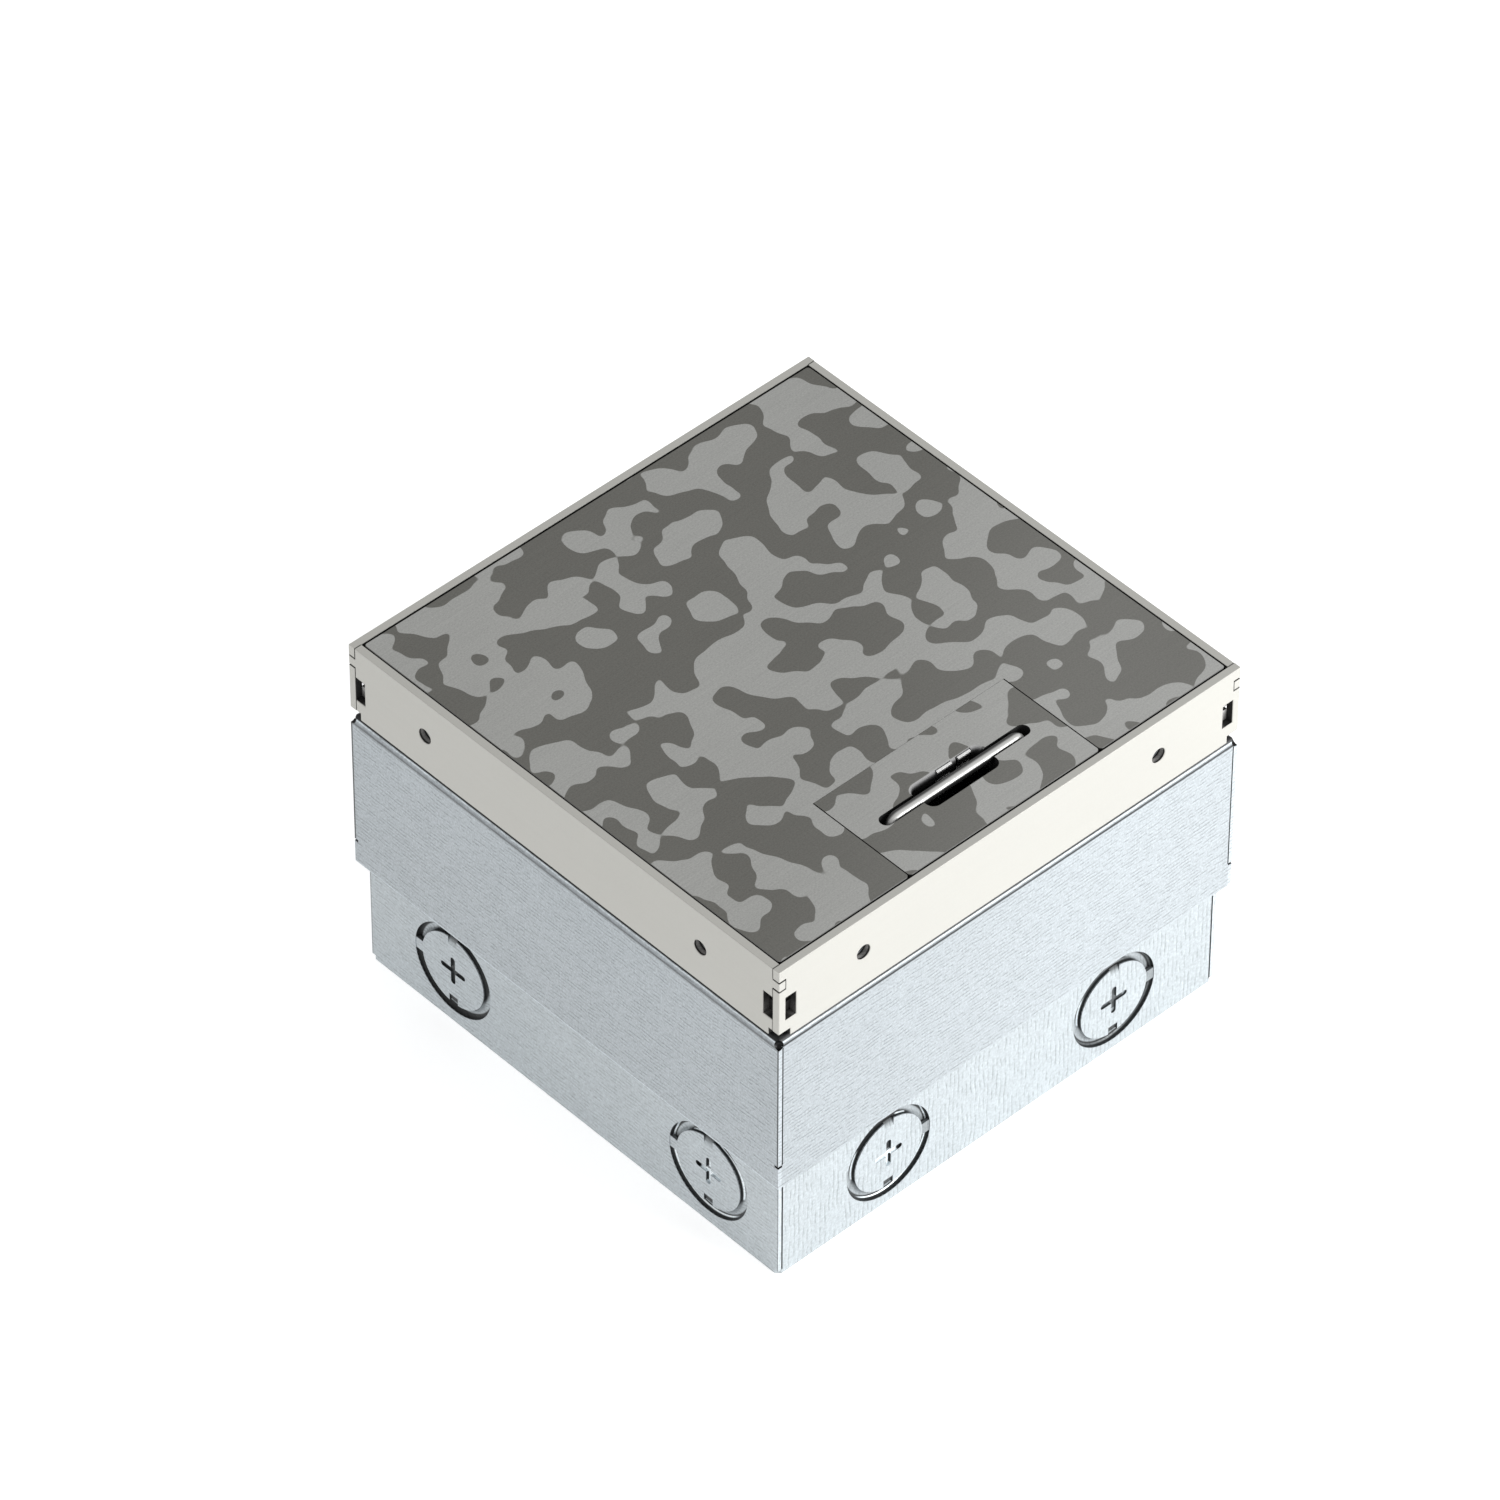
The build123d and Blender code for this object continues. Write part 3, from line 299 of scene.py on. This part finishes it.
def sleeve_zones(m):
    """Painted reflection and shade on the bend under the trim, a painted highlight along the lower edge, painted light
    along the front, painted shade in the corner cut-outs, and the dark joints and seams of the upper sleeve.
    """
    ax, ay = m.abs(m.x), m.abs(m.y)
    out, low = m.most(ax, ay), m.math("MINIMUM", ax, ay)
    on_y = m.ramp(m.sub(ay, ax), -0.00001, 0.00001, smooth=False)
    rim = m.ramp(out, 0.0655, 0.0665)
    # painted reflection and shade on the bend, from below: dark line, shade rising to a bright strip, dark again in the
    # shade up under the trim
    bend_y = m.curve(m.z, ((0.07596, 1.0), (0.07616, 0.42), (0.07630, 0.07), (0.07652, 0.08), (0.07668, 0.36), (0.07690, 0.66),
                           (0.07712, 1.18), (0.07730, 1.18), (0.07740, 0.45), (0.07747, 0.04), (0.07800, 0.02)))
    bend_x = m.curve(m.z, ((0.07500, 1.0), (0.07545, 0.80), (0.07572, 0.36), (0.07592, 0.26), (0.07608, 0.38), (0.07635, 0.66),
                           (0.07690, 0.88), (0.07712, 1.60), (0.07728, 1.60), (0.07738, 0.60), (0.07746, 0.06), (0.07800, 0.03)))
    bend = m.blend(m.mul(rim, m.ramp(m.z, 0.0750, 0.0751)), 1.0, m.blend(on_y, bend_x, bend_y))
    # painted shade in the relief hole of each corner and in the small cut low on the corner
    d = m.vmath("LENGTH", m.join(m.sub(ax, 0.07075), m.sub(ay, 0.07075), m.sub(m.z, 0.07695)))
    hole = m.ramp(d, 0.00128, 0.00140, 1.0, 0.0)
    cut = m.mul(m.band(m.z, 0.0383, 0.00033, 0.00006), m.ramp(low, 0.06975, 0.06985))
    # seam of the folded corner on the front and rear, bright lap beside it, thin shade on the other side
    front = m.ramp(m.abs(m.ny), 0.5, 0.7)
    tall = m.mul(m.ramp(m.z, 0.03860, 0.03870), m.ramp(m.z, 0.0758, 0.0760, 1.0, 0.0))
    seam = m.mul(m.band(ax, 0.06973, 0.00014, 0.00008), m.ramp(ay, 0.0699, 0.0700), tall)
    lap = m.mul(m.ramp(ax, 0.06988, 0.07000), front)
    edge = m.mul(m.inv(front), m.ramp(ay, 0.07044, 0.07062), tall)
    # painted highlight along the lowest edge of the sleeve, stronger on the side walls
    foot_highlight = m.mul(m.ramp(m.z, 0.03160, 0.03182, 1.0, 0.0), m.ramp(out, 0.0708, 0.0709))
    tone = m.add(1.0, m.mul(lap, 0.22))
    tone = m.add(tone, m.mul(foot_highlight, m.blend(on_y, 0.38, 0.10)))
    # painted light: the front grows lighter from one end towards the other
    tone = m.mul(tone, m.blend(m.mul(on_y, m.ramp(m.y, -0.0005, 0.0005, 1.0, 0.0)), 1.0, m.ramp(m.x, -0.068, 0.035, 0.925, 1.045)))
    tone = m.mul(tone, bend)
    for k, a in ((hole, 0.985), (cut, 0.97), (seam, 0.93), (edge, 0.80)):
        tone = m.mul(tone, m.inv(m.mul(k, a)))
    return tone, m.mul(m.most(hole, cut, seam), 0.3)


def box_zones(m):
    """Painted reflections, highlights and shade on the pressed knockout rings, notches, bridges and plus-shaped dents
    of the lower box, and its corner seams.
    """
    ax, ay = m.abs(m.x), m.abs(m.y)
    on_y = m.ramp(m.sub(ay, ax), -0.00001, 0.00001, smooth=False)
    depth = m.sub(0.06874, m.most(ax, ay))
    fx = m.ramp(m.x, 0.0007, 0.0009)          # which of the two on the front and rear walls
    fy = m.ramp(m.y, -0.0028, -0.0026)        # and on the side walls
    u = m.blend(on_y, m.sub(m.y, m.ramp(fy, 0.0, 1.0, -0.0457, 0.0404, smooth=False)),
                m.sub(m.x, m.ramp(fx, 0.0, 1.0, -0.0347, 0.0363, smooth=False)))
    v = m.sub(m.z, m.ramp(on_y, 0.0, 1.0, 0.0164, 0.0157, smooth=False))
    far = m.blend(on_y, fy, fx)
    near = m.inv(far)
    r = m.math("SQRT", m.add(m.mul(u, u), m.mul(v, v)))
    a = m.math("ARCTAN2", v, u)
    t = m.math("DIVIDE", m.sub(r, 0.0117), 0.00125)
    shell = m.ramp(depth, 0.0024, 0.0026, 1.0, 0.0)     # not the inside of the bead
    arm = m.mul(m.ramp(m.abs(v), 0.00165, 0.00170, 1.0, 0.0), m.ramp(u, 0.0, 0.001))   # where the bridge crosses
    ring = m.mul(m.ramp(m.abs(t), 0.985, 1.01, 1.0, 0.0), m.ramp(depth, 0.00004, 0.00012), shell, m.inv(arm))
    flank = m.mul(m.ramp(m.abs(t), 1.10, 1.13, 1.0, 0.0), m.ramp(depth, 0.00020, 0.00026), shell)
    bridge = m.mul(m.band(depth, 0.00018, 0.00006, 0.00003), m.ramp(m.abs(t), 1.36, 1.40, 1.0, 0.0), arm,
                   m.ramp(r, 0.0090, 0.0092))
    # painted reflection: light crescents where the groove turns along one slant
    slant = m.abs(m.mul(t, m.math("SINE", m.sub(a, 0.58))))
    crescent = m.mul(m.ramp(slant, 0.10, 0.36, 1.0, 0.0), m.ramp(t, 0.10, 0.42, 1.0, 0.0))
    # painted highlights: thin bright lines, one on each flank of the groove
    rise = m.ramp(a, 0.40, 0.72, 0.0, 0.28)
    slim = m.blend(on_y, 0.80, 1.0)
    one = m.mul(m.band(m.mul(m.sub(t, m.add(0.62, rise)), slim), 0.0, 0.065, 0.060), m.ramp(a, -2.45, -2.15), m.ramp(a, 0.66, 0.78, 1.0, 0.0), near)
    wide = m.blend(on_y, m.ramp(a, 1.80, 1.95), m.ramp(a, 2.50, 2.70))
    left = m.most(wide, m.ramp(a, -3.02, -2.92, 1.0, 0.0))
    top = m.mul(m.ramp(a, 2.0, 2.8, 1.0, 0.0, smooth=False), m.ramp(a, 0.0, 0.1))      # where the far rim hides most of the groove
    two = m.mul(m.band(m.mul(m.add(t, m.add(0.67, m.mul(top, 0.165))), m.mul(slim, m.add(1.0, m.mul(top, 1.8)))), 0.0, 0.070, 0.070), left, m.blend(on_y, near, 1.0))
    three = m.mul(m.band(t, -0.82, 0.04, 0.06), m.ramp(a, 1.00, 1.06), m.ramp(a, 1.28, 1.36, 1.0, 0.0), near)
    line = m.most(one, two, three)
    # painted shade: the groove is near-black, with a painted highlight band in the far rings of the front and rear
    base = m.blend(on_y, m.ramp(far, 0.0, 1.0, 0.075, 0.050, smooth=False), m.ramp(far, 0.0, 1.0, 0.050, 0.130, smooth=False))
    base = m.mul(base, m.blend(m.mul(on_y, far), 1.0, m.add(0.40, m.mul(m.band(m.abs(t), 0.70, 0.07, 0.09), 1.5))))
    groove = m.add(base, m.mul(crescent, m.ramp(on_y, 0.0, 1.0, 0.92, 0.80, smooth=False)))
    groove = m.blend(line, groove, m.ramp(on_y, 0.0, 1.0, 1.95, 1.80, smooth=False))
    # painted shade in the pry notches: the upper one darkens towards the ring, the lower one is dark
    inside = m.ramp(depth, 0.00002, 0.00006)
    tab = m.mul(m.ramp(m.abs(u), 0.00146, 0.00150, 1.0, 0.0), inside, m.ramp(m.abs(v), 0.00815, 0.00822),
                m.ramp(r, 0.01062, 0.01072, 1.0, 0.0))
    up = m.ramp(v, -0.001, 0.001)
    tab_dark = m.mul(tab, m.blend(up, m.ramp(v, -0.0102, -0.0084, 0.90, 0.95), m.ramp(v, 0.0084, 0.0103, 0.10, 0.86)))
    # plus-shaped dent: painted shade on its walls; the ones near the corner have a painted bright floor with dark ends,
    # the others a painted dark floor
    dent = m.mul(m.ramp(r, 0.0043, 0.0044, 1.0, 0.0), inside)
    floor = m.mul(dent, m.ramp(depth, 0.00052, 0.00058))
    wall = m.mul(dent, m.inv(m.ramp(depth, 0.00052, 0.00058)))
    edge_line = m.ramp(depth, 0.00008, 0.00016, 0.22, 1.0)
    across = m.ramp(m.abs(v), 0.00088, 0.00092, 1.0, 0.0)
    level = m.mul(edge_line, m.ramp(v, 0.00016, 0.00028, 1.0, 0.22), m.ramp(u, 0.0026, 0.0031, 2.05, 0.06))
    # painted shade on one half of the upright arm
    half = m.ramp(u, 0.00028, 0.00046, 2.0, 0.05)      # the half of an upright arm away from the corner is dark
    half = m.blend(m.mul(on_y, m.ramp(v, 0.0, 0.0002)), half, 0.10)
    half = m.blend(m.ramp(v, -0.0038, -0.0034, 1.0, 0.0), half, 1.6)
    bright = m.blend(across, half, level)
    tips = m.mul(on_y, m.ramp(m.most(u, m.mul(v, -1.0)), 0.0030, 0.0034))
    dull = m.add(m.ramp(on_y, 0.0, 1.0, 0.10, 0.26, smooth=False), m.mul(tips, 0.75))
    # seams and the feet of the corners
    seam = m.mul(m.band(ax, 0.06754, 0.00018, 0.00006), m.ramp(ay, 0.0675, 0.0676), on_y, m.ramp(m.z, 0.0012, 0.0014))
    lap = m.mul(m.ramp(ax, 0.06778, 0.06790), on_y, m.ramp(ay, 0.0686, 0.0687))
    # painted shade: a thin dark strip on the side walls beside the corner
    edge = m.mul(m.inv(on_y), m.ramp(ay, 0.06830, 0.06852), m.ramp(ax, 0.0686, 0.0687))
    tone = m.add(1.0, m.mul(lap, 0.18))
    tone = m.blend(ring, tone, groove)
    # painted shade: a dark line on the flank just outside the groove
    tone = m.mul(tone, m.inv(m.mul(m.mul(flank, m.inv(ring)), 0.72)))
    # painted shade: the bridges on the front and rear are darker
    tone = m.blend(bridge, tone, m.blend(on_y, 0.97, 0.58))
    tone = m.mul(tone, m.inv(tab_dark))
    tone = m.mul(tone, m.inv(m.mul(wall, m.blend(far, 0.25, 0.90))))
    tone = m.mul(tone, m.blend(m.mul(dent, m.most(floor, near)), 1.0, m.blend(far, bright, dull)))
    tone = m.mul(tone, m.inv(m.mul(seam, 0.93)))
    tone = m.mul(tone, m.inv(m.mul(edge, 0.45)))
    return tone, m.mul(ring, 0.25)


def bar_metal(name):
    """Polished rod with a painted reflection: bright along the middle, dark along its upper and lower edges where the
    slot is mirrored.
    """
    m = Mat(name, Specular_IOR_Level=0.6)
    g = m.noise(1.0, stretch=(120.0, 2600.0, 2600.0), detail=2.0)
    k = m.math("DIVIDE", m.add(m.y, 0.05222), 0.0014)
    wave = m.mul(m.sub(m.noise(300.0, detail=1.0), 0.5), 0.06)
    # painted reflection across the rod from front to rear
    tone = m.curve(m.add(k, wave), ((-1.0, 0.03), (-0.93, 0.04), (-0.86, 0.32), (-0.78, 0.66), (-0.66, 0.90), (-0.58, 0.84), (-0.50, 0.68),
                                    (-0.36, 0.63), (-0.24, 0.62), (-0.12, 0.42), (-0.02, 0.22), (0.10, 0.10), (0.25, 0.03), (1.0, 0.01)))
    # painted shade towards the ends of the rod and low down in the slot
    tone = m.mul(tone, m.ramp(m.abs(m.x), 0.0200, 0.0213, 1.0, 0.55), m.ramp(m.z, 0.0980, 0.0988, 0.05, 1.0))
    tone = m.mul(tone, m.add(0.96, m.mul(g, 0.08)))
    m.colour(m.shade((0.80, 0.80, 0.78), tone))
    m.set(Metallic=0.25)
    m.rough(m.ramp(g, 0.25, 0.75, 0.22, 0.30))
    m.bump(g, 0.02, 0.00008)
    return m.m


def tongue_metal(name):
    """Spring tongues: a painted highlight on the rolled tops and a thin one lower down, painted shade down in the
    recess.
    """
    m = Mat(name, Specular_IOR_Level=0.6)
    g = m.noise(1500.0, detail=2.0)
    tone = m.curve(m.z, ((0.0960, 0.03), (0.0963, 0.05), (0.0964, 1.2), (0.0967, 1.2), (0.0968, 0.04), (0.0991, 0.05), (0.0994, 0.42), (0.09965, 0.40), (0.09978, 0.75), (0.09985, 1.25)))
    m.colour(m.shade((0.80, 0.80, 0.79), m.mul(tone, m.add(0.8, m.mul(g, 0.4)))))
    m.set(Metallic=0.30)
    m.rough(m.ramp(g, 0.25, 0.75, 0.25, 0.35))
    m.bump(g, 0.06, 0.00008)
    return m.m


def bracket_metal(name):
    """Dark angle brackets; their ends by the corner are lighter, more so towards the top."""
    m = Mat(name, Metallic=0.4, Specular_IOR_Level=0.4)
    g = m.noise(900.0, detail=3.0, rough=0.6)
    low = m.math("MINIMUM", m.abs(m.x), m.abs(m.y))
    end = m.mul(m.ramp(low, 0.0676, 0.0679), m.inv(m.band(m.z, 0.0876, 0.0005, 0.0001)))
    tone = m.add(0.030, m.mul(end, m.ramp(m.z, 0.0850, 0.0880, 0.35, 0.95)))
    m.colour(m.shade((1.0, 0.99, 0.97), m.mul(tone, m.add(0.8, m.mul(g, 0.4)))))
    m.rough(m.ramp(g, 0.3, 0.7, 0.45, 0.6))
    m.bump(g, 0.08, 0.00008)
    return m.m


def plain_metal(name, colour, metallic=0.9, rough=0.35, grain=(900.0, 900.0, 900.0), amount=0.08, bump=0.05):
    m = Mat(name, Metallic=metallic)
    g = m.noise(1.0, stretch=grain, detail=3.0, rough=0.6)
    c = m.noise(60.0, detail=2.0)
    f = m.add(1.0 - amount / 2, m.mul(g, amount))
    f = m.add(f, m.mul(m.sub(c, 0.5), amount))
    m.colour(m.shade(colour, f))
    m.rough(m.ramp(g, 0.25, 0.75, rough - 0.05, rough + 0.07))
    m.bump(g, bump, 0.00008)
    return m.m


def plastic(name, colour, rough=0.42, grain=1400.0, spec=0.5):
    m = Mat(name, Metallic=0.0, Specular_IOR_Level=spec)
    g = m.noise(grain, detail=2.0)
    c = m.noise(35.0, detail=2.0)
    m.colour(m.shade(colour, m.add(0.97, m.mul(m.sub(c, 0.5), 0.06))))
    m.rough(m.ramp(g, 0.3, 0.7, rough - 0.05, rough + 0.08))
    m.bump(g, 0.12, 0.00006)
    return m.m


M = {
    "lid": patterned_steel("patterned_steel_lid", (0.013, 0.021, 0.0)),
    "flap": patterned_steel("patterned_steel_flap", (0.318, 0.207, 0.11)),
    "trim": trim_metal("trim_satin"),
    "sleeve": galvanised("galvanised_sleeve", (0.410, 0.446, 0.470), zones=sleeve_zones),
    "box": galvanised("galvanised_box", (0.462, 0.503, 0.525), vertical_on_y=True, zones=box_zones, contrast=0.75),
    "inner": galvanised("galvanised_inner", (0.44, 0.47, 0.49), contrast=0.8),
    "bracket": bracket_metal("bracket_dark"),
    # the flap backing is made near-black to stand in for the shade seen through the slot under the flap
    "black": plain_metal("backing_black", (0.020, 0.020, 0.020), metallic=0.3, rough=0.6, amount=0.25),
    "bar": bar_metal("bar_polished"),
    "spring": tongue_metal("spring_bright"),
    "pin": plain_metal("pin_turned", (0.62, 0.62, 0.61), metallic=1.0, rough=0.28),
    "screw": plain_metal("screw_zinc", (0.60, 0.62, 0.64), metallic=0.95, rough=0.33, amount=0.14),
    "brass": plain_metal("contact_brass", (0.80, 0.60, 0.26), metallic=1.0, rough=0.28, amount=0.12),
    "bush": plain_metal("bush_bronze", (0.075, 0.058, 0.036), metallic=0.8, rough=0.45, amount=0.15),
    "rubber": plastic("seal_rubber", (0.022, 0.022, 0.022), rough=0.75, grain=900.0, spec=0.3),
    "white": plastic("socket_white", (0.80, 0.80, 0.775), rough=0.38),
    "grey": plastic("socket_grey", (0.17, 0.175, 0.18), rough=0.5),
}
LOOK = {
    "lid_plate": "lid", "flap_plate": "flap",
    "trim_front": "trim", "trim_rear": "trim", "trim_left": "trim", "trim_right": "trim",
    "upper_sleeve": "sleeve", "base_box": "box",
    "levelling_shelves": "inner", "rest_rail_left": "inner", "rest_rail_right": "inner", "rest_rail_front": "inner",
    "rear_rail": "inner", "device_carrier": "inner", "lid_backing": "inner", "lid_stiffeners": "inner", "flap_backing": "black",
    "corner_brackets": "bracket", "handle_bar": "bar", "detent_springs": "spring", "handle_clips": "pin",
    "lid_pivot_pins": "pin", "flap_pivot_pins": "pin",
    "levelling_screws": "screw", "levelling_nuts": "screw", "screw_retainers": "screw", "carrier_screws": "screw",
    "terminal_screws": "screw", "earth_washer": "screw", "earth_stud": "brass", "earth_nut": "brass", "guide_bushes": "bush",
    "pin_contacts": "brass", "earth_clips": "brass", "lid_seal": "rubber",
    "socket_cover_left": "white", "socket_cover_right": "white", "socket_well_left": "white", "socket_well_right": "white",
    "socket_housing_left": "grey", "socket_housing_right": "grey",
}
for name, obj in nodes.items():
    obj.data.materials.clear()
    obj.data.materials.append(M[LOOK[name]])

# ------------------------------------------------------------------ floor, light, camera
mesh = bpy.data.meshes.new("floor")
s = 3.0
z = 0.00004                     # a hair above the underside, so the two never share a plane
mesh.from_pydata([(-s, -s, z), (s, -s, z), (s, s, z), (-s, s, z)], [], [(0, 1, 2, 3)])
floor = bpy.data.objects.new("floor", mesh)
scene.collection.objects.link(floor)
fm = Mat("floor_pale", Roughness=0.9, Specular_IOR_Level=0.1)
fm.colour(fm.shade((0.90, 0.90, 0.90), fm.add(0.985, fm.mul(fm.noise(3.0), 0.03))))
fm.set(Emission_Color=(1.0, 1.0, 1.0, 1.0), Emission_Strength=0.55)
mesh.materials.append(fm.m)

world = bpy.data.worlds.new("studio")
world.use_nodes = True
world.node_tree.nodes["Background"].inputs[0].default_value = (1.0, 1.0, 1.0, 1.0)
world.node_tree.nodes["Background"].inputs[1].default_value = 0.62
scene.world = world


def area(name, at, to, size, power, colour=(1, 1, 1)):
    d = bpy.data.lights.new(name, "AREA")
    d.shape = "RECTANGLE"
    d.size, d.size_y = size
    d.energy = power
    d.color = colour
    o = bpy.data.objects.new(name, d)
    scene.collection.objects.link(o)
    v = Vector(to) - Vector(at)
    o.matrix_world = Matrix.Translation(at) @ v.to_track_quat("-Z", "Y").to_matrix().to_4x4()
    return o


area("key_front", (0.52, -0.98, 0.42), (0.02, -0.06, 0.06), (0.8, 0.5), 12.0)

cam = bpy.data.cameras.new("camera")
cam.sensor_width = 36.0
cam.lens = 253.581
cam.clip_start, cam.clip_end = 0.1, 20.0
co = bpy.data.objects.new("camera", cam)
scene.collection.objects.link(co)
right = Vector((0.731731, -0.681591, 0.002093))
up = Vector((0.474569, 0.511679, 0.716218))
back = Vector((-0.489238, -0.523085, 0.697874))
co.matrix_world = Matrix(((right.x, up.x, back.x, -1.179496), (right.y, up.y, back.y, -1.246637),
                          (right.z, up.z, back.z, 1.742562), (0, 0, 0, 1)))
scene.camera = co
scene.view_settings.view_transform = "Standard"
